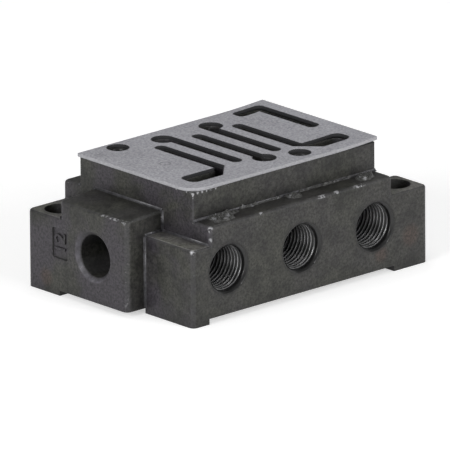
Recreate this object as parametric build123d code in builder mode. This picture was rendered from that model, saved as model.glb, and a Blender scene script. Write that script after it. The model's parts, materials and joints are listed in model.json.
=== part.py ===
import os

from build123d import *

os.makedirs("parts", exist_ok=True)

# Sizes in millimetres. X runs along the three-port face, Y into the depth, Z up.
# The origin is on the ground, under the middle of the body.

# Cast body: a lower block between the two port faces and a narrower upper block
body_length = 48.3
body_depth = 43.0
ledge_height = 19.8
seat_height = 25.6
upper_setback = 4.95
corner_radius = 0.9
ledge_edge_radius = 0.8
upper_corner_radius = 0.4
root_radius = 0.5
block_overlap = 2.5

# Feet: the mounting lugs reach the ground, the bottom between them stays clear of it
underside_rise = 1.15
underside_side_gap = 0.35

# Mounting lugs at the right front and left back, short plain lugs at the other two corners
lug_height = 15.9
long_lug_reach = 9.45
long_lug_width = 9.4
short_lug_reach = 4.65
short_lug_width = 13.9
lug_corner_radius = 1.2
lug_edge_radius = 0.6
lug_hole_diameter = 6.4
lug_hole_from_end = 4.5
lug_hole_from_side = 4.8

# Boss on the left end, between the short lug and the long lug
boss_bottom = 1.05
boss_outer_height = 19.6
boss_root_height = 20.1
boss_edge_radius = 0.6

# Ports: tapered pipe thread, nominal 1/8 inch, drawn here at the thread's outer size
port_height = 10.3
port_spacing = 19.4
port_thread_diameter = 9.9
port_mouth_diameter = 10.2
port_drill_diameter = 8.65
port_thread_depth = 10.0
port_depth = 13.0
drill_point_angle = 118
mouth_angle = 90

# End port: cored to the drill size and countersunk, not tapped
end_port_depth = 14.0
gallery_diameter = 4.0

# Flow slots in the seat, at one pitch, each ending at the drop to its port
slot_width = 2.2
slot_pitch = 5.15
slot_depth = 9.0
slot_back = 9.1
slot_front = -8.6
head_diameter = 4.5
centre_head_front = -10.7
side_head_back = 11.85
side_head_offset = 1.15
leg_front = -13.2
leg_back = -9.0
leg_outer = 20.9
leg_corner_radius = 1.5
slot_end_radius = 1.0
leg_drop_from_outer = 2.3
drop_diameter = 4.1

# Pilot slot: an L at the back right corner, joined to the end port by the gallery
pilot_leg_right = 21.9
pilot_leg_front = -3.0
pilot_leg_back = 14.9
pilot_leg_width = 2.3
pilot_arm_left = 14.7
pilot_arm_width = 2.8
pilot_end_radius = 0.9
pilot_outer_radius = 1.2
pilot_drop_diameter = 2.2

# Tapped holes for the two valve screws, drawn at the thread's outer size
screw_diameter = 4.0
screw_depth = 9.0
screw_places = [(-16.4, 13.9), (7.3, -13.0)]

# Recessed mark field on the end face
mark_width = 4.4
mark_height = 6.2
mark_depth = 0.35
mark_centre_y = 11.9
mark_centre_z = 10.75
mark_corner_radius = 0.4

# Seal sheet on the seat; its right end has sprung up off the casting
gasket_thickness = 0.7
gasket_end_overhang = 0.35
gasket_side_overhang = 0.15
gasket_opening_margin = 0.12
gasket_screw_clearance = 0.45
gasket_front_corner_radius = 3.8
gasket_corner_radius = 0.4
gasket_lift = 0.45
gasket_lift_length = 12.5

# What follows from the sizes above
half_length = body_length / 2
half_depth = body_depth / 2
upper_depth = body_depth - 2 * upper_setback
lug_end = half_length + long_lug_reach
boss_front = -half_depth + short_lug_width
boss_back = half_depth - long_lug_width
boss_centre = (boss_front + boss_back) / 2
leg_drop = leg_outer - leg_drop_from_outer
leg_middle = (leg_front + leg_back) / 2
side_head = slot_pitch + side_head_offset
pilot_drop = pilot_leg_right - pilot_leg_width / 2
gasket_length = body_length + 2 * gasket_end_overhang
gasket_depth = upper_depth + 2 * gasket_side_overhang

front_face = Plane(origin=(0, -half_depth, port_height), x_dir=(1, 0, 0), z_dir=(0, -1, 0))
back_face = Plane(origin=(0, half_depth, port_height), x_dir=(-1, 0, 0), z_dir=(0, 1, 0))
end_face = Plane(origin=(-lug_end, boss_centre, port_height), x_dir=(0, -1, 0), z_dir=(-1, 0, 0))
mark_face = Plane(origin=(-lug_end, mark_centre_y, mark_centre_z), x_dir=(0, -1, 0), z_dir=(-1, 0, 0))
seat_face = Plane.XY.offset(seat_height)

# Slot 1: a straight run that turns over a sloping corner into a wide leg.
# Slot 5 is its mirror image.
with BuildSketch() as exhaust_slot:
    slot_near = -(2 * slot_pitch - slot_width / 2)
    slot_far = -(2 * slot_pitch + slot_width / 2)
    slope = leg_back - leg_front
    with BuildLine():
        Polyline(
            (slot_near, slot_back),
            (slot_near, leg_back),
            (slot_near - slope, leg_front),
            (-leg_outer, leg_front),
            (-leg_outer, leg_back),
            (slot_far, leg_back),
            (slot_far, slot_back),
            close=True,
        )
    make_face()
    fillet(exhaust_slot.vertices().group_by(Axis.Y)[-1], slot_end_radius)
    fillet(exhaust_slot.vertices().group_by(Axis.X)[0], leg_corner_radius)

# Pilot slot: an L at the back right corner
with BuildSketch() as pilot_slot:
    with BuildLine():
        Polyline(
            (pilot_leg_right, pilot_leg_front),
            (pilot_leg_right, pilot_leg_back),
            (pilot_arm_left, pilot_leg_back),
            (pilot_arm_left, pilot_leg_back - pilot_arm_width),
            (pilot_leg_right - pilot_leg_width, pilot_leg_back - pilot_arm_width),
            (pilot_leg_right - pilot_leg_width, pilot_leg_front),
            close=True,
        )
    make_face()
    fillet(pilot_slot.vertices().group_by(Axis.Y)[0], pilot_end_radius)
    fillet(pilot_slot.vertices().group_by(Axis.X)[0], pilot_end_radius)
    fillet(pilot_slot.vertices().group_by(Axis.X)[-1].sort_by(Axis.Y)[-1], pilot_outer_radius)

# All openings of the seat: the slots, and the round heads of slots 2, 3 and 4
with BuildSketch() as openings:
    add(exhaust_slot.sketch)
    mirror(exhaust_slot.sketch, about=Plane.YZ)
    add(pilot_slot.sketch)
    with Locations((0, (slot_back + centre_head_front) / 2)):
        SlotOverall(slot_back - centre_head_front + slot_width / 2, slot_width, rotation=90)
    with Locations((0, centre_head_front)):
        Circle(head_diameter / 2)
    for side in (-1, 1):
        with Locations((side * slot_pitch, (slot_front + side_head_back) / 2)):
            SlotOverall(side_head_back - slot_front + slot_width / 2, slot_width, rotation=90)
        with Locations((side * side_head, side_head_back)):
            Circle(head_diameter / 2)

# Lower block of the casting, from port face to port face
with BuildPart() as lower_block:
    with BuildSketch():
        Rectangle(body_length, body_depth)
    extrude(amount=ledge_height)
    fillet(lower_block.edges().filter_by(Axis.Z), corner_radius)
    fillet(lower_block.faces().sort_by(Axis.Z)[-1].edges(), ledge_edge_radius)

# Upper block that carries the seat
with BuildPart() as upper_block:
    with BuildSketch(Plane.XY.offset(ledge_height - block_overlap)):
        Rectangle(body_length, upper_depth)
    extrude(amount=seat_height - ledge_height + block_overlap)
    fillet(upper_block.edges().filter_by(Axis.Z), upper_corner_radius)

# Long mounting lug at the right front
with BuildPart() as right_lug:
    with BuildSketch():
        with Locations((lug_end, -half_depth)):
            Rectangle(
                long_lug_reach + block_overlap, long_lug_width, align=(Align.MAX, Align.MIN)
            )
    extrude(amount=lug_height)
    fillet(right_lug.edges().filter_by(Axis.Z).group_by(Axis.X)[-1], lug_corner_radius)
    fillet(right_lug.faces().sort_by(Axis.Z)[-1].edges(), lug_edge_radius)

# Its twin at the left back runs on into the boss
with BuildPart() as left_lug:
    with BuildSketch():
        with Locations((-lug_end, half_depth)):
            Rectangle(
                long_lug_reach + block_overlap,
                long_lug_width + block_overlap,
                align=(Align.MIN, Align.MAX),
            )
    extrude(amount=lug_height)
    outer_edges = left_lug.edges().filter_by(Axis.Z).group_by(Axis.Y)[-1]
    fillet(outer_edges.sort_by(Axis.X)[0], lug_corner_radius)
    fillet(left_lug.faces().sort_by(Axis.Z)[-1].edges(), lug_edge_radius)

# Short plain lug at the left front, which also runs into the boss
with BuildPart() as short_lug:
    with BuildSketch():
        with Locations((-half_length - short_lug_reach, -half_depth)):
            Rectangle(
                short_lug_reach + block_overlap,
                short_lug_width + block_overlap,
                align=(Align.MIN, Align.MIN),
            )
    extrude(amount=lug_height)
    outer_edges = short_lug.edges().filter_by(Axis.Z).group_by(Axis.Y)[0]
    fillet(outer_edges.sort_by(Axis.X)[0], lug_corner_radius)
    fillet(short_lug.faces().sort_by(Axis.Z)[-1].edges(), lug_edge_radius)

# Short plain lug at the right back
with BuildPart() as back_lug:
    with BuildSketch():
        with Locations((half_length + short_lug_reach, half_depth)):
            Rectangle(
                short_lug_reach + block_overlap, short_lug_width, align=(Align.MAX, Align.MAX)
            )
    extrude(amount=lug_height)
    fillet(back_lug.edges().filter_by(Axis.Z).group_by(Axis.X)[-1], lug_corner_radius)
    fillet(back_lug.faces().sort_by(Axis.Z)[-1].edges(), lug_edge_radius)

# Boss of the end port; its top rises a little towards the body
with BuildPart() as end_boss:
    with BuildSketch(Plane.XZ.offset(-boss_back)):
        with BuildLine():
            Polyline(
                (-lug_end, boss_bottom),
                (-half_length + block_overlap, boss_bottom),
                (-half_length + block_overlap, boss_root_height),
                (-half_length, boss_root_height),
                (-lug_end, boss_outer_height),
                close=True,
            )
        make_face()
    extrude(amount=boss_back - boss_front)
    fillet(end_boss.edges().filter_by(Axis.Z).group_by(Axis.X)[0], lug_corner_radius)
    outer_face = end_boss.faces().sort_by(Axis.X)[0]
    fillet(outer_face.edges().sort_by(Axis.Z)[-1], boss_edge_radius)

# The casting: the blocks joined, then every port, slot and hole
with BuildPart() as subbase_body:
    add(lower_block.part)
    add(upper_block.part)
    add(right_lug.part)
    add(left_lug.part)
    add(short_lug.part)
    add(back_lug.part)
    add(end_boss.part)

    # Underside: clear of the ground between the lugs and under the boss
    with BuildSketch():
        Rectangle(body_length + 2 * underside_side_gap, body_depth)
    extrude(amount=underside_rise, mode=Mode.SUBTRACT)
    with BuildSketch():
        with Locations((-lug_end, boss_front)):
            Rectangle(
                long_lug_reach, boss_back - boss_front, align=(Align.MIN, Align.MIN)
            )
    extrude(amount=boss_bottom, mode=Mode.SUBTRACT)

    # Three tapped ports on the front, two on the back
    with Locations(front_face):
        with GridLocations(port_spacing, 1, 3, 1):
            CounterBoreHole(
                port_drill_diameter / 2, port_thread_diameter / 2, port_thread_depth, port_depth
            )
            CounterSinkHole(
                port_drill_diameter / 2, port_mouth_diameter / 2, port_depth, mouth_angle
            )
    with Locations(back_face):
        with GridLocations(port_spacing, 1, 2, 1):
            CounterBoreHole(
                port_drill_diameter / 2, port_thread_diameter / 2, port_thread_depth, port_depth
            )
            CounterSinkHole(
                port_drill_diameter / 2, port_mouth_diameter / 2, port_depth, mouth_angle
            )

    # End port and the gallery that leads on from it
    with Locations(end_face):
        CounterSinkHole(
            port_drill_diameter / 2, port_mouth_diameter / 2, end_port_depth, mouth_angle
        )
        Hole(gallery_diameter / 2, depth=lug_end + pilot_drop)

    # Slots in the seat, and the drops that join them to their ports
    with BuildSketch(seat_face):
        add(openings.sketch)
    extrude(amount=-slot_depth, mode=Mode.SUBTRACT)
    drop_places = [(0, centre_head_front)]
    for side in (-1, 1):
        drop_places.append((side * leg_drop, leg_middle))
        drop_places.append((side * side_head, side_head_back))
    with Locations(seat_face):
        with Locations(drop_places):
            Hole(drop_diameter / 2, depth=seat_height - port_height)
        with Locations((pilot_drop, boss_centre)):
            Hole(pilot_drop_diameter / 2, depth=seat_height - port_height)
        with Locations(screw_places):
            Hole(screw_diameter / 2, depth=screw_depth)

    # Mounting holes through the long lugs
    with Locations(Plane.XY.offset(lug_height)):
        for side in (-1, 1):
            with Locations(
                (side * (lug_end - lug_hole_from_end), -side * (half_depth - lug_hole_from_side))
            ):
                Hole(lug_hole_diameter / 2, depth=lug_height)

    # Shallow field for the casting mark
    with BuildSketch(mark_face):
        RectangleRounded(mark_width, mark_height, mark_corner_radius)
    extrude(amount=-mark_depth, mode=Mode.SUBTRACT)

subbase_body.part.label = "subbase_body"

# Seal sheet: flat on the seat, with its right end sprung up in a gentle curve
with BuildPart() as gasket:
    lift_start = gasket_length / 2 - gasket_lift_length
    with BuildSketch(Plane.XZ):
        with BuildLine():
            lower = Line((-gasket_length / 2, seat_height), (lift_start, seat_height))
            lower_curve = TangentArc(
                lower @ 1, (gasket_length / 2, seat_height + gasket_lift), tangent=(1, 0)
            )
            sheet_top = seat_height + gasket_thickness
            upper = Line((-gasket_length / 2, sheet_top), (lift_start, sheet_top))
            upper_curve = TangentArc(
                upper @ 1, (gasket_length / 2, sheet_top + gasket_lift), tangent=(1, 0)
            )
            Line(lower @ 0, upper @ 0)
            Line(lower_curve @ 1, upper_curve @ 1)
        make_face()
    extrude(amount=gasket_depth / 2, both=True)
    front_corner = gasket.edges().filter_by(Axis.Z).group_by(Axis.X)[0].sort_by(Axis.Y)[0]
    fillet(front_corner, gasket_front_corner_radius)
    with BuildSketch(seat_face):
        add(openings.sketch)
        offset(amount=gasket_opening_margin)
    extrude(amount=2 * gasket_thickness + gasket_lift, mode=Mode.SUBTRACT)
    with Locations(seat_face):
        with Locations(screw_places):
            Hole((screw_diameter + gasket_screw_clearance) / 2)

gasket.part.label = "gasket"

export_step(subbase_body.part, "parts/subbase_body.step")
export_step(gasket.part, "parts/gasket.step")
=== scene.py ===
import bmesh
import bpy
import json
import math
from mathutils import Matrix, Vector, noise

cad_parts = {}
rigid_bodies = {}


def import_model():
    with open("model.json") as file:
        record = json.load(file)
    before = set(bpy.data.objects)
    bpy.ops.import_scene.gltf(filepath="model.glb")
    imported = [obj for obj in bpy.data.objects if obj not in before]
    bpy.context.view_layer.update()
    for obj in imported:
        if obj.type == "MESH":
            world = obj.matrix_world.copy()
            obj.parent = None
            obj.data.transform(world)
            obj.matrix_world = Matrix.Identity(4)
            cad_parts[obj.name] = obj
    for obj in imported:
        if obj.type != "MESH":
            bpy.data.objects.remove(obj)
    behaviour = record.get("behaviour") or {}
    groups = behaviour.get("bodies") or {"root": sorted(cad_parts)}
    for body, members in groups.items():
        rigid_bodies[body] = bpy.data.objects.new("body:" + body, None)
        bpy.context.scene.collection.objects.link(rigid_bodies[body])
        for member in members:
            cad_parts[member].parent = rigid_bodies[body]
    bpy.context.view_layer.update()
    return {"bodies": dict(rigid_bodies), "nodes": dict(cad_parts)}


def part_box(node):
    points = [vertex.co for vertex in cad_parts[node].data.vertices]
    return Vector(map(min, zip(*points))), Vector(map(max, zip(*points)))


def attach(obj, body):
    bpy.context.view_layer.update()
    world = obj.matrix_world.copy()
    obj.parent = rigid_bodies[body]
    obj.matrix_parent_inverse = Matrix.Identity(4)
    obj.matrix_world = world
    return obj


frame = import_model()
mm = 0.001
print("frame loaded")

bodyName = list(frame["bodies"])[0]
casting = frame["nodes"]["subbase_body"]
sealSheet = frame["nodes"]["gasket"]
castingLow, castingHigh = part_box("subbase_body")
seatHeight = castingHigh[2]
portFaceY = castingHigh[1]
bossEndX = castingLow[0]

# places on the casting in mm, from the middle of its foot
portSpacing = 19.4
portHeight = 10.3
endPortY = 2.25
ledgeHeight = 19.8
lugTopHeight = 15.9


# small helpers for node trees; plug and shaderMath serve both kinds of tree
def newMaterial(name):
    material = bpy.data.materials.new(name)
    material.use_nodes = True
    tree = material.node_tree
    tree.nodes.clear()
    output = tree.nodes.new("ShaderNodeOutputMaterial")
    shader = tree.nodes.new("ShaderNodeBsdfPrincipled")
    tree.links.new(shader.outputs["BSDF"], output.inputs["Surface"])
    return material, tree, shader


def plug(tree, value, socket):
    if isinstance(value, bpy.types.NodeSocket):
        tree.links.new(value, socket)
    elif value is not None:
        socket.default_value = value


def shaderMath(tree, operation, first, second=None, third=None, clamp=False):
    step = tree.nodes.new("ShaderNodeMath")
    step.operation = operation
    step.use_clamp = clamp
    for value, socket in zip((first, second, third), step.inputs):
        plug(tree, value, socket)
    return step.outputs[0]


def product(tree, first, second):
    return shaderMath(tree, "MULTIPLY", first, second)


def either(tree, first, second):
    return shaderMath(tree, "MAXIMUM", first, second)


def spread(tree, value, low, high, start=0.0, end=1.0, smooth=True):
    # a value between low and high becomes one between start and end
    node = tree.nodes.new("ShaderNodeMapRange")
    node.interpolation_type = "SMOOTHSTEP" if smooth else "LINEAR"
    plug(tree, value, node.inputs["Value"])
    node.inputs["From Min"].default_value = low
    node.inputs["From Max"].default_value = high
    node.inputs["To Min"].default_value = start
    node.inputs["To Max"].default_value = end
    return node.outputs["Result"]


def objectPoint(tree, scale=(1, 1, 1)):
    coordinates = tree.nodes.new("ShaderNodeTexCoord")
    mapping = tree.nodes.new("ShaderNodeMapping")
    mapping.inputs["Scale"].default_value = scale
    tree.links.new(coordinates.outputs["Object"], mapping.inputs["Vector"])
    return mapping.outputs["Vector"]


def splitPoint(tree, point):
    parts = tree.nodes.new("ShaderNodeSeparateXYZ")
    plug(tree, point, parts.inputs["Vector"])
    return [parts.outputs[axis] for axis in "XYZ"]


def noiseField(tree, point, scale, detail, roughness, distortion=0.0):
    texture = tree.nodes.new("ShaderNodeTexNoise")
    plug(tree, point, texture.inputs["Vector"])
    texture.inputs["Scale"].default_value = scale
    texture.inputs["Detail"].default_value = detail
    texture.inputs["Roughness"].default_value = roughness
    texture.inputs["Distortion"].default_value = distortion
    return texture.outputs["Fac"]


def distanceFrom(tree, point, placeMm):
    node = tree.nodes.new("ShaderNodeVectorMath")
    node.operation = "DISTANCE"
    plug(tree, point, node.inputs[0])
    node.inputs[1].default_value = [c * mm for c in placeMm]
    return node.outputs["Value"]


spotCore = 0.35   # the share of a spot's radius that is full


def anySpot(tree, point, spots):
    # 1 in the middle of any of the spots (x, y, z, radius in mm), 0 outside all of them
    whole = None
    for x, y, z, radius in spots:
        away = distanceFrom(tree, point, (x, y, z))
        near = spread(tree, away, spotCore * radius * mm, radius * mm, 1, 0)
        whole = near if whole is None else either(tree, whole, near)
    return whole


def mixColour(tree, factor, first, second):
    node = tree.nodes.new("ShaderNodeMix")
    node.data_type = "RGBA"
    for value, index in ((factor, 0), (first, 6), (second, 7)):   # the colour mix's own sockets
        if isinstance(value, tuple) and len(value) == 3:
            value = (*value, 1)
        plug(tree, value, node.inputs[index])
    return node.outputs[2]


def scaled(tree, colour, factor):
    node = tree.nodes.new("ShaderNodeVectorMath")
    node.operation = "SCALE"
    plug(tree, colour, node.inputs[0])
    plug(tree, factor, node.inputs["Scale"])
    return node.outputs[0]


def changedBy(tree, colour, mask, change):
    # the colour times 1 + change where the mask is 1
    return scaled(tree, colour, shaderMath(tree, "MULTIPLY_ADD", mask, change, 1.0))


def mottled(tree, colour, field, low, high, darkest, palest):
    return scaled(tree, colour, spread(tree, field, low, high, darkest, palest, False))


def bump(tree, height, strength, distance, normal=None):
    node = tree.nodes.new("ShaderNodeBump")
    node.inputs["Strength"].default_value = strength
    node.inputs["Distance"].default_value = distance
    plug(tree, height, node.inputs["Height"])
    plug(tree, normal, node.inputs["Normal"])
    return node.outputs["Normal"]


def shadeOpenness(tree, reach):
    # 1 on an open face, near 0 deep in a slot or hole; the finishes darken by it, which is painted shade
    node = tree.nodes.new("ShaderNodeAmbientOcclusion")
    node.samples = 8
    node.inputs["Distance"].default_value = reach
    return node.outputs["AO"]


def faceDirection(tree):
    # the three parts of the face's direction, without their signs
    coordinates = tree.nodes.new("ShaderNodeTexCoord")
    parts = splitPoint(tree, coordinates.outputs["Normal"])
    return [shaderMath(tree, "ABSOLUTE", part) for part in parts]


def edgeLean(tree, radius):
    # how far the rounded normal leans away from the true one, which it does near edges only
    rounded = tree.nodes.new("ShaderNodeBevel")
    rounded.samples = 6
    rounded.inputs["Radius"].default_value = radius
    geometry = tree.nodes.new("ShaderNodeNewGeometry")
    dot = tree.nodes.new("ShaderNodeVectorMath")
    dot.operation = "DOT_PRODUCT"
    tree.links.new(rounded.outputs["Normal"], dot.inputs[0])
    tree.links.new(geometry.outputs["Normal"], dot.inputs[1])
    return shaderMath(tree, "SUBTRACT", 1.0, dot.outputs["Value"]), rounded.outputs["Normal"]


# In all finishes a noise is its scale, detail and roughness, and in one case its distortion. Ends are
# two limits between which a mask goes from 0 to 1, or from the third number to the fourth. A mottle
# or a hollow shade is two limits and the tone's factor at each, and a bump is its strength and depth.

# the casting's dark coat
castFinish = {
    "darkTone": (0.015, 0.015, 0.013),
    "lightTone": (0.038, 0.038, 0.032),
    "violetTone": (0.036, 0.032, 0.039),
    "edgeTone": (0.060, 0.060, 0.063),
    "stainTone": (0.052, 0.035, 0.028),
    "bareMetal": (0.32, 0.32, 0.33),
    "cloudNoise": (230, 5.0, 0.65),
    "patchNoise": (80, 3.0, 0.5, 0.4),
    "grainNoise": (1900, 2.0, 0.7),
    "skinNoise": (360, 2.0, 0.5),
    "cloudEnds": (0.32, 0.66),
    "patchEnds": (0.40, 0.60, 0.0, 0.9),
    "roundEnds": (0.90, 0.985, 1, 0),
    "leanEnds": (0.015, 0.2),
    "grainMottle": (0.33, 0.67, 0.48, 1.52),
    "hollowShade": (0.1, 0.9, 0.30, 1.0),
    "violetOnPorts": 0.25,
    "violetMoreOnEnds": 0.7,
    "stainShare": 0.6,
    "edgeShare": 0.30,
    "bareShine": 0.5,
    "roughness": 0.47,
    "roughnessSwing": 0.30,
    "specular": 0.33,
    "edgeRound": 0.40 * mm,
    "skinBump": (0.40, 0.20 * mm),
    "grainBump": (0.60, 0.06 * mm),
    "hollowReach": 4.5 * mm,
    "stains": [(28.9, -21.5, 6.5, 3.0), (21.0, -21.5, 4.2, 2.2), (-33.6, 16.0, 3.0, 2.4)],
}


def castTone(tree, point, sides, cloud, grain):
    # the end faces lean to violet, the port faces to olive
    light = spread(tree, cloud, *castFinish["cloudEnds"])
    tone = mixColour(tree, light, castFinish["darkTone"], castFinish["lightTone"])
    patches = spread(tree, noiseField(tree, point, *castFinish["patchNoise"]), *castFinish["patchEnds"])
    share = shaderMath(tree, "MULTIPLY_ADD", sides[0], castFinish["violetMoreOnEnds"],
                       castFinish["violetOnPorts"])
    tone = mixColour(tree, product(tree, patches, share), tone, castFinish["violetTone"])
    stained = product(tree, anySpot(tree, point, castFinish["stains"]), castFinish["stainShare"])
    tone = mixColour(tree, stained, tone, castFinish["stainTone"])
    return mottled(tree, tone, grain, *castFinish["grainMottle"])


# painted shade: a dark ring round the mouths of the threaded ports, on the front and the back face,
# standing in for the shading of their rounded rims
portShadeRing = {
    "inner": 5.15 * mm,
    "outer": 5.7 * mm,
    "shade": 0.55,
    "faceFrom": 20.5 * mm,
    "faceTo": 21.0 * mm,
    "faces": ((-1.0, (-1, 0, 1)), (1.0, (-0.5, 0.5))),   # outward side, then the ports in spacings
}


def shadePorts(tree, point, tone):
    acrossFace = objectPoint(tree, (1, 0, 1))
    fromMiddle = splitPoint(tree, point)[1]
    for outward, ports in portShadeRing["faces"]:
        nearest = None
        for port in ports:
            away = distanceFrom(tree, acrossFace, (port * portSpacing, 0, portHeight))
            nearest = away if nearest is None else shaderMath(tree, "MINIMUM", nearest, away)
        outside = product(tree, fromMiddle, outward)
        onFace = spread(tree, outside, portShadeRing["faceFrom"], portShadeRing["faceTo"])
        # painted shade: the ring darkens the coat round each mouth
        ring = product(tree, spread(tree, nearest, portShadeRing["inner"], portShadeRing["outer"], 1, 0), onFace)
        tone = changedBy(tree, tone, ring, -portShadeRing["shade"])
    return tone


# painted highlight: the end port's countersink is painted pale at its lower left, where light falls on it
endRimLight = {
    "tone": (0.105, 0.100, 0.115),
    "radius": 4.85 * mm,
    "fullWithin": 0.15 * mm,
    "goneBeyond": 0.60 * mm,
    "faceFrom": -33.0 * mm,
    "faceTo": -32.6 * mm,
    "litFrom": -9.5 * mm,
    "litTo": -4.0 * mm,
    "noise": (900, 3.0, 0.6),
    "patchEnds": (0.35, 0.65, 0.35, 1.0),
}


def lightEndRim(tree, point, tone):
    x, y, z = splitPoint(tree, point)
    fromAxis = distanceFrom(tree, objectPoint(tree, (0, 1, 1)), (0, endPortY, portHeight))
    fromRim = shaderMath(tree, "ABSOLUTE", shaderMath(tree, "SUBTRACT", fromAxis, endRimLight["radius"]))
    pale = product(tree, spread(tree, fromRim, endRimLight["fullWithin"], endRimLight["goneBeyond"], 1, 0),
                   spread(tree, x, endRimLight["faceFrom"], endRimLight["faceTo"], 1, 0))
    # painted highlight: pale on the rim's lower left side only
    lowerLeft = shaderMath(tree, "SUBTRACT", y, z)
    pale = product(tree, pale, spread(tree, lowerLeft, endRimLight["litFrom"], endRimLight["litTo"]))
    patchy = spread(tree, noiseField(tree, point, *endRimLight["noise"]), *endRimLight["patchEnds"])
    return mixColour(tree, product(tree, pale, patchy), tone, endRimLight["tone"])


# painted light: the lugs' tops are painted paler, as if lit from above, on level faces between the low
# and the high limits in mm
lugTopLight = {"low": (15.2, 15.7), "high": (16.3, 16.8), "levelEnds": (0.8, 0.95), "paler": 2.6}


def lightLugTops(tree, point, sides, tone):
    height = splitPoint(tree, point)[2]
    above, below = [[limit * mm for limit in lugTopLight[key]] for key in ("low", "high")]
    # painted light on the lugs' level tops
    litTop = product(tree, spread(tree, height, *above), spread(tree, height, *below, 1, 0))
    litTop = product(tree, litTop, spread(tree, sides[2], *lugTopLight["levelEnds"]))
    return changedBy(tree, tone, litTop, lugTopLight["paler"])


# bare metal: chips are places with a radius in mm, on the port face's top edge, the near corners
# and the boss's rim; crumbs lie along the top of the casting, under the sheet's front corner
bareSpots = {
    "chips": [(15.3, -21.1, 19.4, 1.7), (5.4, -21.1, 19.4, 1.3), (9.4, -21.1, 19.4, 0.8),
              (-10.5, -21.1, 19.5, 0.6), (-24.0, -21.3, 19.2, 0.9), (-24.1, -21.4, 17.0, 0.7),
              (-28.6, -21.2, 15.5, 0.8), (-33.4, -0.2, 19.4, 1.0), (-33.4, -2.4, 19.4, 1.1),
              (-33.4, -4.4, 19.4, 1.1), (-33.2, -6.4, 19.3, 0.9),
              (-24.0, -16.4, 25.4, 1.3), (-20.5, -16.5, 25.5, 1.2), (33.2, -21.0, 15.5, 0.6)],
    "crumbs": [(-24.0 + 1.15 * i, -16.55, 25.42, 0.42) for i in range(9)]
              + [(-24.15, -16.3 + 1.5 * i, 25.42, 0.40) for i in range(4)],
    "nickNoise": (1100, 3.0, 0.7),
    "nickEnds": (0.47, 0.53),
    "edgeNoise": (700, 3.0, 0.75),
    "edgeEnds": (0.63, 0.69, 0.0, 0.25),
}


def bareMask(tree, point, onEdge):
    nicks = spread(tree, noiseField(tree, point, *bareSpots["nickNoise"]), *bareSpots["nickEnds"])
    chipped = product(tree, anySpot(tree, point, bareSpots["chips"]), nicks)
    chipped = product(tree, chipped, onEdge)
    fewNicks = spread(tree, noiseField(tree, point, *bareSpots["edgeNoise"]), *bareSpots["edgeEnds"])
    bare = either(tree, chipped, product(tree, onEdge, fewNicks))
    crumbs = product(tree, anySpot(tree, point, bareSpots["crumbs"]), nicks)
    return either(tree, bare, crumbs)


def castMetal():
    material, tree, shader = newMaterial("darkCastMetal")
    point = objectPoint(tree)
    sides = faceDirection(tree)
    mainSide = either(tree, either(tree, sides[0], sides[1]), sides[2])
    onRound = spread(tree, mainSide, *castFinish["roundEnds"])   # 1 where the face leans off all axes
    cloud = noiseField(tree, point, *castFinish["cloudNoise"])
    grain = noiseField(tree, point, *castFinish["grainNoise"])
    tone = castTone(tree, point, sides, cloud, grain)

    # edges are a little lighter, and bare in the chipped places
    lean, rounded = edgeLean(tree, castFinish["edgeRound"])
    onEdge = either(tree, spread(tree, lean, *castFinish["leanEnds"]), onRound)
    tone = mixColour(tree, product(tree, onEdge, castFinish["edgeShare"]), tone, castFinish["edgeTone"])
    tone = shadePorts(tree, point, tone)
    tone = lightEndRim(tree, point, tone)
    tone = lightLugTops(tree, point, sides, tone)
    bare = bareMask(tree, point, onEdge)
    tone = mixColour(tree, bare, tone, castFinish["bareMetal"])
    # painted shade: the coat darkens deep in slots and holes
    clear = shadeOpenness(tree, castFinish["hollowReach"])
    tone = mottled(tree, tone, clear, *castFinish["hollowShade"])
    tree.links.new(tone, shader.inputs["Base Color"])
    tree.links.new(product(tree, bare, castFinish["bareShine"]), shader.inputs["Metallic"])
    swing = castFinish["roughnessSwing"]
    uneven = shaderMath(tree, "MULTIPLY_ADD", cloud, swing, castFinish["roughness"] - swing / 2)
    tree.links.new(uneven, shader.inputs["Roughness"])
    shader.inputs["Specular IOR Level"].default_value = castFinish["specular"]

    dents = noiseField(tree, point, *castFinish["skinNoise"])
    skin = bump(tree, dents, *castFinish["skinBump"], rounded)
    skin = bump(tree, grain, *castFinish["grainBump"], skin)
    tree.links.new(skin, shader.inputs["Normal"])
    return material


# where a gate or flash was snapped off: rougher, with small bright points
brokenFinish = {
    "tone": (0.040, 0.040, 0.038),
    "glint": (0.19, 0.19, 0.20),
    "shine": 0.6,
    "roughness": 0.42,
    "noise": (850, 4.0, 0.7),
    "glintEnds": (0.56, 0.66),
    "bump": (0.6, 0.10 * mm),
}


def brokenMetal():
    material, tree, shader = newMaterial("brokenCastMetal")
    point = objectPoint(tree)
    crumbs = noiseField(tree, point, *brokenFinish["noise"])
    glints = spread(tree, crumbs, *brokenFinish["glintEnds"])
    tone = mixColour(tree, glints, brokenFinish["tone"], brokenFinish["glint"])
    tree.links.new(tone, shader.inputs["Base Color"])
    tree.links.new(product(tree, glints, brokenFinish["shine"]), shader.inputs["Metallic"])
    shader.inputs["Roughness"].default_value = brokenFinish["roughness"]
    tree.links.new(bump(tree, crumbs, *brokenFinish["bump"]), shader.inputs["Normal"])
    return material


# painted highlight: the cast roots are painted paler than the coat, standing in for the light their
# hollow rounds catch
rootHighlightFinish = {
    "tone": (0.058, 0.057, 0.062),
    "shine": 0.25,
    "roughness": 0.42,
    "noise": (900, 4.0, 0.7),
    "mottle": (0.3, 0.7, 0.35, 1.6),
    "bump": (0.5, 0.06 * mm),
}


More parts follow.
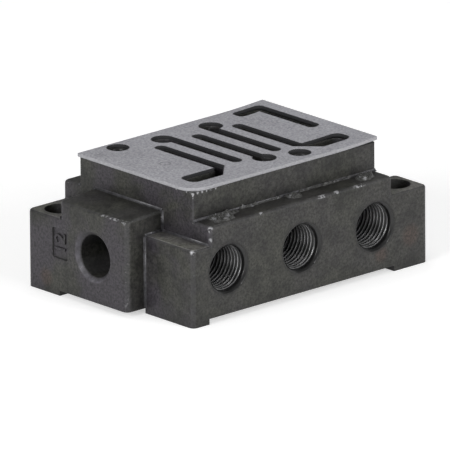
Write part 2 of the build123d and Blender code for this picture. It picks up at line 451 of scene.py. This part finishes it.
def rootHighlightMetal():
    material, tree, shader = newMaterial("castRootHighlight")
    point = objectPoint(tree)
    grain = noiseField(tree, point, *rootHighlightFinish["noise"])
    tone = mottled(tree, rootHighlightFinish["tone"], grain, *rootHighlightFinish["mottle"])
    tree.links.new(tone, shader.inputs["Base Color"])
    shader.inputs["Metallic"].default_value = rootHighlightFinish["shine"]
    shader.inputs["Roughness"].default_value = rootHighlightFinish["roughness"]
    tree.links.new(bump(tree, grain, *rootHighlightFinish["bump"]), shader.inputs["Normal"])
    return material


# threads: painted shade, black in the valleys, and a painted highlight along the crests, where the coat
# is also worn to bare metal
threadFinish = {
    "tone": (0.014, 0.014, 0.014),
    "valleyShade": (0.003, 0.003, 0.003),
    "crestHighlight": (0.42, 0.42, 0.425),
    "flankEnds": (0.30, 0.75),
    "crestEnds": (0.58, 0.90),
    "crestShine": 0.8,
    "roughness": 0.31,
    "noise": (700, 3.0, 0.6),
    "streakMottle": (0.3, 0.7, 0.75, 1.25),
    "streakBump": (0.2, 0.03 * mm),
    "hollowReach": 3.0 * mm,
    "hollowShade": (0.1, 0.6, 0.45, 1.0),
}


def coatedThread():
    material, tree, shader = newMaterial("coatedThreadMetal")
    point = objectPoint(tree)
    streaks = noiseField(tree, point, *threadFinish["noise"])
    crest = tree.nodes.new("ShaderNodeAttribute")
    crest.attribute_name = "crest"
    crestHighlightShare = spread(tree, crest.outputs["Fac"], *threadFinish["crestEnds"])
    outOfValleyShade = spread(tree, crest.outputs["Fac"], *threadFinish["flankEnds"])
    # painted shade: the thread darkens deeper in the bore
    clear = shadeOpenness(tree, threadFinish["hollowReach"])
    # painted shade in the valleys, painted highlight on the crests
    tone = mixColour(tree, outOfValleyShade, threadFinish["valleyShade"], threadFinish["tone"])
    tone = mixColour(tree, crestHighlightShare, tone, threadFinish["crestHighlight"])
    tone = mottled(tree, tone, streaks, *threadFinish["streakMottle"])
    tone = mottled(tree, tone, clear, *threadFinish["hollowShade"])
    tree.links.new(tone, shader.inputs["Base Color"])
    tree.links.new(product(tree, crestHighlightShare, threadFinish["crestShine"]), shader.inputs["Metallic"])
    shader.inputs["Roughness"].default_value = threadFinish["roughness"]
    tree.links.new(bump(tree, streaks, *threadFinish["streakBump"]), shader.inputs["Normal"])
    return material


# the seal sheet: grey with fine flecks, a small pressed ring with painted shade along its line, and two
# faint smudges (places in mm)
sheetFinish = {
    "tone": (0.330, 0.328, 0.354),
    "darkFleck": (0.245, 0.243, 0.265),
    "paleFleck": (0.425, 0.423, 0.445),
    "outerRimLight": (0.36, 0.36, 0.37),
    "cutWallShade": (0.022, 0.022, 0.024),
    "fleckNoise": (2100, 2.0, 0.6),
    "broadNoise": (85, 3.0, 0.5),
    "darkEnds": (0.36, 0.50, 1, 0),
    "paleEnds": (0.55, 0.68),
    "broadMottle": (0.3, 0.7, 0.93, 1.07),
    "leanEnds": (0.004, 0.05),
    "wallEnds": (0.3, 0.7, 1, 0),
    "edgeWidth": 0.30 * mm,
    "roughness": 0.66,
    "specular": 0.35,
    "dimple": (-16.7, -0.25, 26.3),
    "dimpleRadius": 1.05 * mm,
    "dimpleLine": (0.08 * mm, 0.26 * mm, 1, 0),
    "dimpleShade": 0.28,
    "dimpleBump": (-0.5, 0.08 * mm),
    "fleckBump": (0.25, 0.03 * mm),
    "smudges": [(-22.4, 12.6, 26.3, 1.6), (13.0, -15.5, 26.4, 1.2)],
    "smudgeShade": 0.16,
    "outerX": (23.3 * mm, 23.7 * mm),
    "outerY": (16.25 * mm, 16.5 * mm),
    "outerCorner": (37.7 * mm, 38.1 * mm),
    "outerFade": 0.55,
    "hollowReach": 1.2 * mm,
    "hollowShade": (0.1, 0.7, 0.45, 1.0),
}


def sheetTone(tree, point, fleck, pressed):
    dark = spread(tree, fleck, *sheetFinish["darkEnds"])
    pale = spread(tree, fleck, *sheetFinish["paleEnds"])
    tone = mixColour(tree, dark, sheetFinish["tone"], sheetFinish["darkFleck"])
    tone = mixColour(tree, pale, tone, sheetFinish["paleFleck"])
    broad = noiseField(tree, point, *sheetFinish["broadNoise"])
    tone = mottled(tree, tone, broad, *sheetFinish["broadMottle"])
    smudged = anySpot(tree, point, sheetFinish["smudges"])
    tone = changedBy(tree, tone, smudged, -sheetFinish["smudgeShade"])
    # painted shade along the pressed ring's line
    return changedBy(tree, tone, pressed, -sheetFinish["dimpleShade"])


def sheetOutside(tree, point):
    # 1 at the sheet's outside rim, 0 at its openings
    fromMiddle = [shaderMath(tree, "ABSOLUTE", part) for part in splitPoint(tree, point)[:2]]
    farX = spread(tree, fromMiddle[0], *sheetFinish["outerX"])
    farY = spread(tree, fromMiddle[1], *sheetFinish["outerY"])
    farCorner = spread(tree, shaderMath(tree, "ADD", *fromMiddle), *sheetFinish["outerCorner"])
    return either(tree, either(tree, farX, farY), farCorner)


def sealMaterial():
    material, tree, shader = newMaterial("greySealSheet")
    point = objectPoint(tree)
    fleck = noiseField(tree, point, *sheetFinish["fleckNoise"])
    fromDimple = distanceFrom(tree, point, sheetFinish["dimple"])
    fromRing = shaderMath(tree, "SUBTRACT", fromDimple, sheetFinish["dimpleRadius"])
    pressed = spread(tree, shaderMath(tree, "ABSOLUTE", fromRing), *sheetFinish["dimpleLine"])
    tone = sheetTone(tree, point, fleck, pressed)

    # painted light and shade: the outside rim is painted pale, as if lit, and the cut walls of the
    # openings nearly black, as if in shade
    lean, rounded = edgeLean(tree, sheetFinish["edgeWidth"])
    outside = sheetOutside(tree, point)
    rimLightAndShade = mixColour(tree, outside, sheetFinish["cutWallShade"], sheetFinish["outerRimLight"])
    cutWall = spread(tree, faceDirection(tree)[2], *sheetFinish["wallEnds"])
    onRim = either(tree, spread(tree, lean, *sheetFinish["leanEnds"]), cutWall)
    fade = shaderMath(tree, "MULTIPLY_ADD", outside, -sheetFinish["outerFade"], 1.0)
    tone = mixColour(tree, product(tree, onRim, fade), tone, rimLightAndShade)
    # painted shade: the sheet darkens near and inside its openings
    clear = shadeOpenness(tree, sheetFinish["hollowReach"])
    tone = mottled(tree, tone, clear, *sheetFinish["hollowShade"])
    tree.links.new(tone, shader.inputs["Base Color"])
    shader.inputs["Roughness"].default_value = sheetFinish["roughness"]
    shader.inputs["Specular IOR Level"].default_value = sheetFinish["specular"]
    skin = bump(tree, pressed, *sheetFinish["dimpleBump"], rounded)
    skin = bump(tree, fleck, *sheetFinish["fleckBump"], skin)
    tree.links.new(skin, shader.inputs["Normal"])
    return material


castSkin = castMetal()
brokenSkin = brokenMetal()
rootHighlightSkin = rootHighlightMetal()
threadSkin = coatedThread()
sheetSkin = sealMaterial()


def dress(piece, material):
    piece.data.materials.clear()
    piece.data.materials.append(material)


dress(casting, castSkin)
dress(sealSheet, sheetSkin)
print("finishes made")


# every made piece ends here: a closed shell, its faces outwards, on the part's one body
shellMerge = 0.001 * mm


def settleShell(shell, mesh, mergeWithin=None):
    if mergeWithin:
        bmesh.ops.remove_doubles(shell, verts=shell.verts, dist=mergeWithin)
    bmesh.ops.recalc_face_normals(shell, faces=shell.faces)
    openEdges = sum(1 for edge in shell.edges if len(edge.link_faces) != 2)
    shell.to_mesh(mesh)
    shell.free()
    print(mesh.name, len(mesh.polygons), "faces,", openEdges, "open edges")


def addPiece(name, mesh):
    piece = bpy.data.objects.new(name, mesh)
    bpy.context.collection.objects.link(piece)
    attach(piece, bodyName)
    return piece


def plainMesh(name, holder):
    # the holder's evaluated shape as a mesh of its own; the holder goes, with its modifiers
    graph = bpy.context.evaluated_depsgraph_get()
    graph.update()
    mesh = bpy.data.meshes.new_from_object(holder.evaluated_get(graph), depsgraph=graph)
    bpy.data.objects.remove(holder, do_unlink=True)
    mesh.name = name
    return mesh


class TreeBench:
    # one geometry tree, its nodes and its named sizes
    socketKinds = {int: "NodeSocketInt", float: "NodeSocketFloat", tuple: "NodeSocketVector"}

    def __init__(self, name):
        self.tree = bpy.data.node_groups.new(name, "GeometryNodeTree")
        self.inlet = self.tree.nodes.new("NodeGroupInput")
        self.outlet = self.tree.nodes.new("NodeGroupOutput")
        self.tree.interface.new_socket("Geometry", in_out="OUTPUT", socket_type="NodeSocketGeometry")
        self.values = {}

    def size(self, name, value):
        kind = self.socketKinds[type(value)]
        socket = self.tree.interface.new_socket(name, in_out="INPUT", socket_type=kind)
        socket.default_value = value
        self.values[socket.identifier] = value
        return self.inlet.outputs[name]

    def node(self, kind, settings=None, **values):
        made = self.tree.nodes.new(kind)
        for key, value in (settings or {}).items():
            setattr(made, key, value)
        for key, value in values.items():
            plug(self.tree, value, made.inputs[key.replace("_", " ")])
        return made

    def math(self, operation, first, second=None, third=None, clamp=False):
        return shaderMath(self.tree, operation, first, second, third, clamp)

    def pick(self, share, first, second):
        # first where share is 0, second where it is 1
        return self.math("MULTIPLY_ADD", share, self.math("SUBTRACT", second, first), first)

    def finish(self, geometry, material):
        whole = self.node("GeometryNodeRealizeInstances", Geometry=geometry)
        painted = self.node("GeometryNodeSetMaterial", Geometry=whole.outputs[0])
        painted.inputs["Material"].default_value = material
        self.tree.links.new(painted.outputs[0], self.outlet.inputs[0])


def growPiece(name, bench):
    # runs a tree on an empty mesh and keeps the result
    holder = bpy.data.objects.new(name + "Grower", bpy.data.meshes.new(name + "Seed"))
    bpy.context.collection.objects.link(holder)
    modifier = holder.modifiers.new("grow", "NODES")
    modifier.node_group = bench.tree
    for identifier, value in bench.values.items():
        modifier[identifier] = value
    mesh = plainMesh(name, holder)
    shell = bmesh.new()
    shell.from_mesh(mesh)
    settleShell(shell, mesh, shellMerge)
    addPiece(name, mesh)


# screw threads: a grid wound round the bore, with several rows of faces to one turn's advance
threadForm = {
    "rowsPerPitch": 8,
    "flankSlope": 3.0,       # the flat valley, the flanks and the flat crest over one pitch
    "valleyShare": 0.3,
    "runIn": 0.4,            # pitches from the plain band to the full thread
    "bandShine": 0.58,       # the plain band at the mouth is as pale as a flank this high
    "nudge": 0.001,          # keeps a point that lies just on a limit on one side of it
    "backing": 0.03 * mm,
    "merge": 0.001 * mm,
}


def woundGrid(bench, size, windRows):
    grid = bench.node("GeometryNodeMeshGrid", Size_X=1.0, Size_Y=1.0,
                      Vertices_X=bench.math("ADD", size["Segments"], 1), Vertices_Y=windRows + 3)
    place = bench.node("GeometryNodeInputPosition").outputs[0]
    parts = bench.node("ShaderNodeSeparateXYZ", Vector=place)
    around = bench.math("ADD", parts.outputs["X"], 0.5)
    upward = bench.math("MULTIPLY", bench.math("ADD", parts.outputs["Y"], 0.5), float(windRows + 2))
    return grid.outputs["Mesh"], around, bench.math("ROUND", upward)


def threadRadius(bench, size, turnsIn, along, inside):
    # the radius at each point, and how far up the flank it is
    share = bench.math("FRACT", bench.math("ADD", turnsIn, threadForm["nudge"]))
    rise = bench.math("SUBTRACT", 0.5, bench.math("ABSOLUTE", bench.math("SUBTRACT", share, 0.5)))
    crest = bench.math("MULTIPLY_ADD", rise, threadForm["flankSlope"], -threadForm["valleyShare"],
                       clamp=True)
    root = bench.math("SUBTRACT", size["Root radius"], bench.math("MULTIPLY", inside, size["Taper"]))
    threaded = bench.pick(crest, root, size["Crest radius"])
    begun = bench.math("DIVIDE", bench.math("SUBTRACT", inside, size["Lead in"]),
                       bench.math("MULTIPLY", size["Pitch"], threadForm["runIn"]), clamp=True)
    radius = bench.pick(begun, size["Band radius"], threaded)
    mouth = bench.math("SUBTRACT", size["Mouth radius"], inside)
    radius = bench.math("MAXIMUM", radius, mouth)
    nearEnd = bench.math("MULTIPLY", size["Depth"], 1 - threadForm["nudge"])
    past = bench.math("GREATER_THAN", along, nearEnd)
    radius = bench.pick(past, radius, size["End radius"])
    # the second value is the crest share, which the thread's finish turns into painted valley shade and
    # crest highlight
    return radius, bench.pick(begun, threadForm["bandShine"], crest)


def closeBehind(bench, size, row, windRows, radius, inside):
    # the last two rows close the shell behind the bore's wall
    outer = bench.math("GREATER_THAN", row, windRows + 0.5)
    last = bench.math("GREATER_THAN", row, windRows + 1.5)
    behind = bench.math("ADD", size["Root radius"], threadForm["backing"])
    radius = bench.pick(last, bench.pick(outer, radius, behind), size["Mouth radius"])
    inside = bench.pick(last, bench.pick(outer, inside, size["Depth"]), 0.0)
    return radius, inside


def windThread(bench, size, turns):
    windRows = turns * threadForm["rowsPerPitch"]
    grid, around, row = woundGrid(bench, size, windRows)
    turnsIn = bench.math("DIVIDE", row, float(threadForm["rowsPerPitch"]))
    fromMouth = bench.math("SUBTRACT", bench.math("ADD", turnsIn, around), 1.0)
    along = bench.math("MULTIPLY", fromMouth, size["Pitch"])
    inside = bench.math("MINIMUM", bench.math("MAXIMUM", along, 0.0), size["Depth"])
    radius, shown = threadRadius(bench, size, turnsIn, along, inside)
    radius, inside = closeBehind(bench, size, row, windRows, radius, inside)
    angle = bench.math("MULTIPLY", around, 2 * math.pi)
    newPlace = bench.node("ShaderNodeCombineXYZ", Z=inside,
                          X=bench.math("MULTIPLY", radius, bench.math("COSINE", angle)),
                          Y=bench.math("MULTIPLY", radius, bench.math("SINE", angle)))
    kept = bench.node("GeometryNodeStoreNamedAttribute", {"data_type": "FLOAT", "domain": "POINT"},
                      Geometry=grid, Name="crest", Value=shown)
    wound = bench.node("GeometryNodeSetPosition", Geometry=kept.outputs[0],
                       Position=newPlace.outputs[0])
    merged = bench.node("GeometryNodeMergeByDistance", Geometry=wound.outputs[0],
                        Distance=threadForm["merge"])
    smooth = bench.node("GeometryNodeSetShadeSmooth", Geometry=merged.outputs[0], Shade_Smooth=True)
    return smooth.outputs[0]


def cutThreads(name, sizes, turns, rows):
    # one thread, set into each row of holes
    bench = TreeBench(name + "Tree")
    size = {label: bench.size(label, value) for label, value in sizes.items()}
    thread = windThread(bench, size, turns)
    joined = bench.node("GeometryNodeJoinGeometry")
    for holes in rows:
        label = holes["label"]
        line = bench.node("GeometryNodeMeshLine",
                          Count=bench.size(label + " count", holes["count"]),
                          Start_Location=bench.size(label + " start", holes["start"]),
                          Offset=bench.size(label + " step", holes["step"]))
        placed = bench.node("GeometryNodeInstanceOnPoints", Points=line.outputs[0],
                            Instance=thread, Rotation=holes["turn"])
        bench.tree.links.new(placed.outputs[0], joined.inputs[0])
    bench.finish(joined.outputs[0], threadSkin)
    growPiece(name, bench)


# tapered pipe thread in the five ports
portThread = {
    "Root radius": 4.94 * mm, "Crest radius": 4.36 * mm, "Band radius": 4.58 * mm,
    "Mouth radius": 5.08 * mm, "End radius": 4.325 * mm, "Lead in": 1.15 * mm,
    "Depth": 10.0 * mm, "Pitch": 0.941 * mm, "Taper": 0.031, "Segments": 72,
}
portTurns = 13
portStep = portSpacing * mm
portRows = [
    {"label": "Front", "count": 3, "turn": (-math.pi / 2, 0.0, 0.0),
     "start": (-portStep, -portFaceY, portHeight * mm), "step": (portStep, 0.0, 0.0)},
    {"label": "Back", "count": 2, "turn": (math.pi / 2, 0.0, 0.0),
     "start": (-portStep / 2, portFaceY, portHeight * mm), "step": (portStep, 0.0, 0.0)},
]
cutThreads("portThreads", portThread, portTurns, portRows)

# metric thread in the two holes for the valve's screws
screwThread = {
    "Root radius": 1.995 * mm, "Crest radius": 1.64 * mm, "Band radius": 1.70 * mm,
    "Mouth radius": 1.99 * mm, "End radius": 1.64 * mm, "Lead in": 0.25 * mm,
    "Depth": 8.9 * mm, "Pitch": 0.7 * mm, "Taper": 0.0, "Segments": 40,
}
screwTurns = 15
screwLeft = (-16.4 * mm, 13.9 * mm, seatHeight)
screwRight = (7.3 * mm, -13.0 * mm, seatHeight)
screwRows = [
    {"label": "Screw", "count": 2, "turn": (math.pi, 0.0, 0.0), "start": screwLeft,
     "step": tuple(b - a for a, b in zip(screwLeft, screwRight))},
]
cutThreads("screwThreads", screwThread, screwTurns, screwRows)


# cast roots: hollow quarter rounds where walls and tops meet; the walls' places are in mm
castRoots = {
    "radius": 0.38 * mm,
    "sunk": 0.12 * mm,
    "arcSteps": 6,
    "endWall": 24.15, "ledgeWall": 16.55, "portFace": 20.9,
    "lugEnd": 33.4, "shortLugEnd": 28.8, "bossFront": -7.6, "bossBack": 12.1, "bossRoot": 20.1,
    "lugSide": 12.1, "shortLugSide": 7.6, "bottom": 1.2,
    "leftStop": 0.2, "rightStop": 0.3,   # how far the upright ones end below the lugs' tops
}


def rootLines():
    # start, end, and the two open directions of each root
    c = castRoots
    wall, foot, face, top, bottom = c["endWall"], c["ledgeWall"], c["portFace"], lugTopHeight, c["bottom"]
    lug, shortLug, lugSide, shortLugSide = c["lugEnd"], c["shortLugEnd"], c["lugSide"], c["shortLugSide"]
    bossFront, bossBack, bossRoot = c["bossFront"], c["bossBack"], c["bossRoot"]
    leftTop, rightTop = top - c["leftStop"], top - c["rightStop"]
    left, right, front, back, up = (-1, 0, 0), (1, 0, 0), (0, -1, 0), (0, 1, 0), (0, 0, 1)
    return [
        ((-wall, -foot, ledgeHeight), (wall, -foot, ledgeHeight), front, up),
        ((-wall, foot, ledgeHeight), (wall, foot, ledgeHeight), back, up),
        ((-wall, bossFront, bossRoot), (-wall, bossBack, bossRoot), left, up),
        ((-wall, bossFront, top), (-wall, bossFront, bossRoot), left, front),
        ((-wall, bossBack, top), (-wall, bossBack, bossRoot), left, back),
        ((-wall, -face, top), (-wall, bossFront, top), left, up),
        ((-wall, bossBack, top), (-wall, face, top), left, up),
        ((-shortLug, bossFront, top), (-wall, bossFront, top), front, up),
        ((-lug, bossBack, top), (-wall, bossBack, top), back, up),
        ((-shortLug, bossFront, bottom), (-shortLug, bossFront, leftTop), left, front),
        ((wall, -face, top), (wall, -lugSide, top), right, up),
        ((wall, shortLugSide, top), (wall, face, top), right, up),
        ((wall, -lugSide, bottom), (wall, -lugSide, rightTop), right, back),
        ((wall, shortLugSide, bottom), (wall, shortLugSide, rightTop), right, front),
    ]


def rootProfile():
    radius, sunk, steps = castRoots["radius"], castRoots["sunk"], castRoots["arcSteps"]
    arc = []
    for step in range(steps + 1):
        angle = math.pi / 2 * step / steps
        arc.append((radius - radius * math.sin(angle), radius - radius * math.cos(angle)))
    return [(-sunk, -sunk), (radius, -sunk), *arc, (-sunk, radius)]


def fillRoots():
    profile = rootProfile()
    shell = bmesh.new()
    for start, end, openA, openB in rootLines():
        rings = []
        for place in (start, end):
            base = Vector(place) * mm
            rings.append([shell.verts.new(base + Vector(openA) * a + Vector(openB) * b)
                          for a, b in profile])
        shell.faces.new(rings[0])
        shell.faces.new(list(reversed(rings[1])))
        for k in range(len(profile)):
            n = (k + 1) % len(profile)
            side = shell.faces.new([rings[0][n], rings[0][k], rings[1][k], rings[1][n]])
            side.smooth = 2 <= k < 2 + castRoots["arcSteps"]   # the hollow arc only
    mesh = bpy.data.meshes.new("castRoots")
    settleShell(shell, mesh)
    dress(addPiece("castRoots", mesh), rootHighlightSkin)


fillRoots()
print("cast roots filled")


# gate scars: low broken mounds left on the ledge by the casting tool, outlines in mm
gateScars = {
    "height": 0.60 * mm,
    "lowest": 0.12,
    "middle": 0.75,
    "roughness": 1.1,
    "lumpSize": 1.1 * mm,
    "lumpShare": 0.7,
    "crumbSize": 0.35 * mm,
    "crumbShare": 0.5,
    "crumbSlice": 4 * mm,
    "slope": 0.40 * mm,
    "sunk": 0.15 * mm,
    "cell": 0.18 * mm,
    "outlines": {
        "gateScarLeft": [(-20.9, -16.7), (-21.5, -20.3), (-18.7, -20.6), (-16.6, -20.5),
                         (-15.8, -18.6), (-13.0, -17.8), (-13.4, -16.7)],
        "gateScarMiddle": [(-0.6, -16.8), (-0.2, -19.2), (1.6, -19.7), (2.9, -18.4), (2.5, -16.8)],
        "flashLeft": [(-12.6, -16.4), (-12.2, -17.1), (-9.0, -17.3), (-6.4, -16.9), (-1.4, -17.2),
                      (-1.0, -16.4)],
        "flashRight": [(3.4, -16.4), (3.6, -17.1), (7.0, -16.9), (10.2, -17.2), (17.4, -16.9),
                       (17.8, -16.4)],
        "gateScarRight": [(18.2, -16.8), (17.2, -18.4), (17.3, -20.2), (19.0, -20.5),
                          (21.2, -19.5), (22.7, -17.2)],
    },
}


def insideDistance(x, y, outline):
    # distance to the outline's nearest side, below zero outside it
    nearest = math.inf
    within = False
    for (ax, ay), (bx, by) in zip(outline, outline[1:] + outline[:1]):
        lengthSquared = (bx - ax) ** 2 + (by - ay) ** 2
        share = max(0.0, min(1.0, ((x - ax) * (bx - ax) + (y - ay) * (by - ay)) / lengthSquared))
        nearest = min(nearest, math.hypot(x - ax - share * (bx - ax), y - ay - share * (by - ay)))
        if (ay > y) != (by > y) and x < ax + (y - ay) * (bx - ax) / (by - ay):
            within = not within
    return nearest if within else -nearest


def scarTop(x, y, edge):
    lump = noise.noise(Vector((x, y, 0.0)) / gateScars["lumpSize"])
    crumb = noise.noise(Vector((x, y, gateScars["crumbSlice"])) / gateScars["crumbSize"])
    ramped = min(1.0, edge / gateScars["slope"])
    uneven = gateScars["lumpShare"] * lump + gateScars["crumbShare"] * crumb
    rough = gateScars["middle"] + gateScars["roughness"] * uneven
    return ledgeHeight * mm + gateScars["height"] * ramped * max(gateScars["lowest"], rough)


def breakScar(name, outlineMm):
    outline = [(x * mm, y * mm) for x, y in outlineMm]
    cell = gateScars["cell"]
    lowX, lowY = min(p[0] for p in outline), min(p[1] for p in outline)
    across = int((max(p[0] for p in outline) - lowX) / cell) + 1
    deep = int((max(p[1] for p in outline) - lowY) / cell) + 1
    shell = bmesh.new()
    corners = {}

    def corner(i, j, upper):
        if (i, j, upper) not in corners:
            x, y = lowX + i * cell, lowY + j * cell
            edge = max(0.0, insideDistance(x, y, outline))
            z = scarTop(x, y, edge) if upper else ledgeHeight * mm - gateScars["sunk"]
            corners[(i, j, upper)] = shell.verts.new((x, y, z))
        return corners[(i, j, upper)]

    cells = {(i, j) for i in range(across) for j in range(deep)
             if insideDistance(lowX + (i + 0.5) * cell, lowY + (j + 0.5) * cell, outline) > 0}
    for i, j in cells:
        ring = [(i, j), (i + 1, j), (i + 1, j + 1), (i, j + 1)]
        shell.faces.new([corner(a, b, True) for a, b in ring])
        shell.faces.new([corner(a, b, False) for a, b in reversed(ring)])
        neighbours = [(i, j - 1), (i + 1, j), (i, j + 1), (i - 1, j)]
        for k, neighbour in enumerate(neighbours):
            if neighbour not in cells:
                a, b = ring[k], ring[(k + 1) % 4]
                shell.faces.new([corner(*b, True), corner(*a, True),
                                 corner(*a, False), corner(*b, False)])
    mesh = bpy.data.meshes.new(name)
    settleShell(shell, mesh)
    dress(addPiece(name, mesh), brokenSkin)


for scarName, scarOutline in gateScars["outlines"].items():
    breakScar(scarName, scarOutline)
print("gate scars broken off")


# cast mark: plain figures standing in the field on the end face, reading upwards
castMark = {
    "figures": "12",
    "size": 4.4 * mm,
    "raised": 0.26 * mm,
    "softEdge": 0.03 * mm,
    "centre": (11.9 * mm, 10.75 * mm),
    "fieldDepth": 0.35 * mm,
    "sunk": 0.03 * mm,
    "merge": 0.002 * mm,
}


def raiseFigures():
    curve = bpy.data.curves.new("castFigures", "FONT")
    curve.body = castMark["figures"]
    curve.size = castMark["size"]
    curve.align_x = "CENTER"
    curve.align_y = "CENTER"
    curve.extrude = castMark["raised"] / 2
    curve.bevel_depth = castMark["softEdge"]
    holder = bpy.data.objects.new("castFigures", curve)
    bpy.context.collection.objects.link(holder)
    mesh = plainMesh("castFigures", holder)
    middleY, middleZ = castMark["centre"]
    middleX = bossEndX + castMark["fieldDepth"] + castMark["sunk"] - castMark["raised"] / 2
    mesh.transform(Matrix(((0, 0, -1, middleX), (0, 1, 0, middleY), (1, 0, 0, middleZ), (0, 0, 0, 1))))
    shell = bmesh.new()
    shell.from_mesh(mesh)
    settleShell(shell, mesh, castMark["merge"])
    dress(addPiece("castFigures", mesh), castSkin)


raiseFigures()
print("cast mark raised")


# floor, surround, lamps and camera
studio = {
    "floorSize": 3.0,
    "floorDrop": 0.02 * mm,
    "floorTone": (0.69, 0.69, 0.69),
    "floorLift": 0.50,
    "floorRoughness": 0.9,
    "floorSpecular": 0.1,
    "horizonStrength": 0.42,
    "zenithStrength": 0.14,
    "horizonEnds": (0.05, 0.9),
    "lampAim": (0, 0, 0.012),
}
studioLamps = [
    {"name": "frontSoftbox", "place": (0.10, -0.85, 0.34), "size": 0.45, "power": 5.3},
    {"name": "leftSoftbox", "place": (-0.85, -0.10, 0.36), "size": 0.45, "power": 6.1},
    {"name": "rightSoftbox", "place": (0.80, -0.30, 0.12), "size": 0.45, "power": 1.3},
    {"name": "topSoftbox", "place": (0.0, 0.25, 0.85), "size": 0.7, "power": 2.0},
]


def addFloor():
    half, low = studio["floorSize"] / 2, -studio["floorDrop"]
    corners = [(-half, -half, low), (half, -half, low), (half, half, low), (-half, half, low)]
    mesh = bpy.data.meshes.new("paleFloor")
    mesh.from_pydata(corners, [], [(0, 1, 2, 3)])
    floor = bpy.data.objects.new("paleFloor", mesh)
    bpy.context.collection.objects.link(floor)
    material, tree, shader = newMaterial("paleFloorPaint")
    shader.inputs["Base Color"].default_value = (*studio["floorTone"], 1)
    shader.inputs["Roughness"].default_value = studio["floorRoughness"]
    shader.inputs["Specular IOR Level"].default_value = studio["floorSpecular"]
    path = tree.nodes.new("ShaderNodeLightPath")
    seen = either(tree, path.outputs["Is Camera Ray"], path.outputs["Is Glossy Ray"])
    shader.inputs["Emission Color"].default_value = (1, 1, 1, 1)
    tree.links.new(product(tree, seen, studio["floorLift"]), shader.inputs["Emission Strength"])
    mesh.materials.append(material)


def addWorld():
    world = bpy.data.worlds.new("studioSurround")
    bpy.context.scene.world = world
    world.use_nodes = True
    tree = world.node_tree
    tree.nodes.clear()
    output = tree.nodes.new("ShaderNodeOutputWorld")
    backdrop = tree.nodes.new("ShaderNodeBackground")
    path = tree.nodes.new("ShaderNodeLightPath")
    coordinates = tree.nodes.new("ShaderNodeTexCoord")
    height = splitPoint(tree, coordinates.outputs["Generated"])[2]
    surround = spread(tree, height, *studio["horizonEnds"],
                      studio["horizonStrength"], studio["zenithStrength"])
    strength = either(tree, surround, path.outputs["Is Camera Ray"])
    tree.links.new(strength, backdrop.inputs["Strength"])
    tree.links.new(backdrop.outputs[0], output.inputs["Surface"])


def addLamp(lamp):
    light = bpy.data.lights.new(lamp["name"], "AREA")
    light.energy = lamp["power"]
    light.size = lamp["size"]
    holder = bpy.data.objects.new(lamp["name"], light)
    holder.location = lamp["place"]
    aim = Vector(studio["lampAim"]) - Vector(lamp["place"])
    holder.rotation_euler = aim.to_track_quat("-Z", "Y").to_euler()
    bpy.context.collection.objects.link(holder)


# a long lens from far off; the angles are those of the photograph
photoCamera = {
    "azimuth": -42.14,
    "elevation": 17.78,
    "roll": -0.43,
    "distance": 2.998,
    "lens": 1222.4,
    "sensorWidth": 36,
    "farthest": 20,
    "aim": (-0.003005, 0.0, 0.014333),
    "slideRight": 0.001648,
    "slideDown": 0.003532,
}


def addCamera():
    turn = math.radians(photoCamera["azimuth"])
    lift = math.radians(photoCamera["elevation"])
    roll = math.radians(photoCamera["roll"])
    back = Vector((math.sin(turn) * math.cos(lift), -math.cos(turn) * math.cos(lift), math.sin(lift)))
    right = (-back).cross(Vector((0, 0, 1))).normalized()
    up = right.cross(-back)
    rightAxis = math.cos(roll) * right + math.sin(roll) * up
    upAxis = -math.sin(roll) * right + math.cos(roll) * up
    aim = (Vector(photoCamera["aim"]) + rightAxis * photoCamera["slideRight"]
           - upAxis * photoCamera["slideDown"])
    camera = bpy.data.cameras.new("photoCamera")
    camera.lens = photoCamera["lens"]
    camera.sensor_width = photoCamera["sensorWidth"]
    camera.clip_end = photoCamera["farthest"]
    holder = bpy.data.objects.new("photoCamera", camera)
    place = aim + back * photoCamera["distance"]
    holder.matrix_world = Matrix((
        (rightAxis.x, upAxis.x, back.x, place.x),
        (rightAxis.y, upAxis.y, back.y, place.y),
        (rightAxis.z, upAxis.z, back.z, place.z),
        (0, 0, 0, 1),
    ))
    bpy.context.collection.objects.link(holder)
    bpy.context.scene.camera = holder


addFloor()
addWorld()
for lamp in studioLamps:
    addLamp(lamp)
addCamera()
bpy.context.scene.view_settings.view_transform = "Standard"
print("studio set")
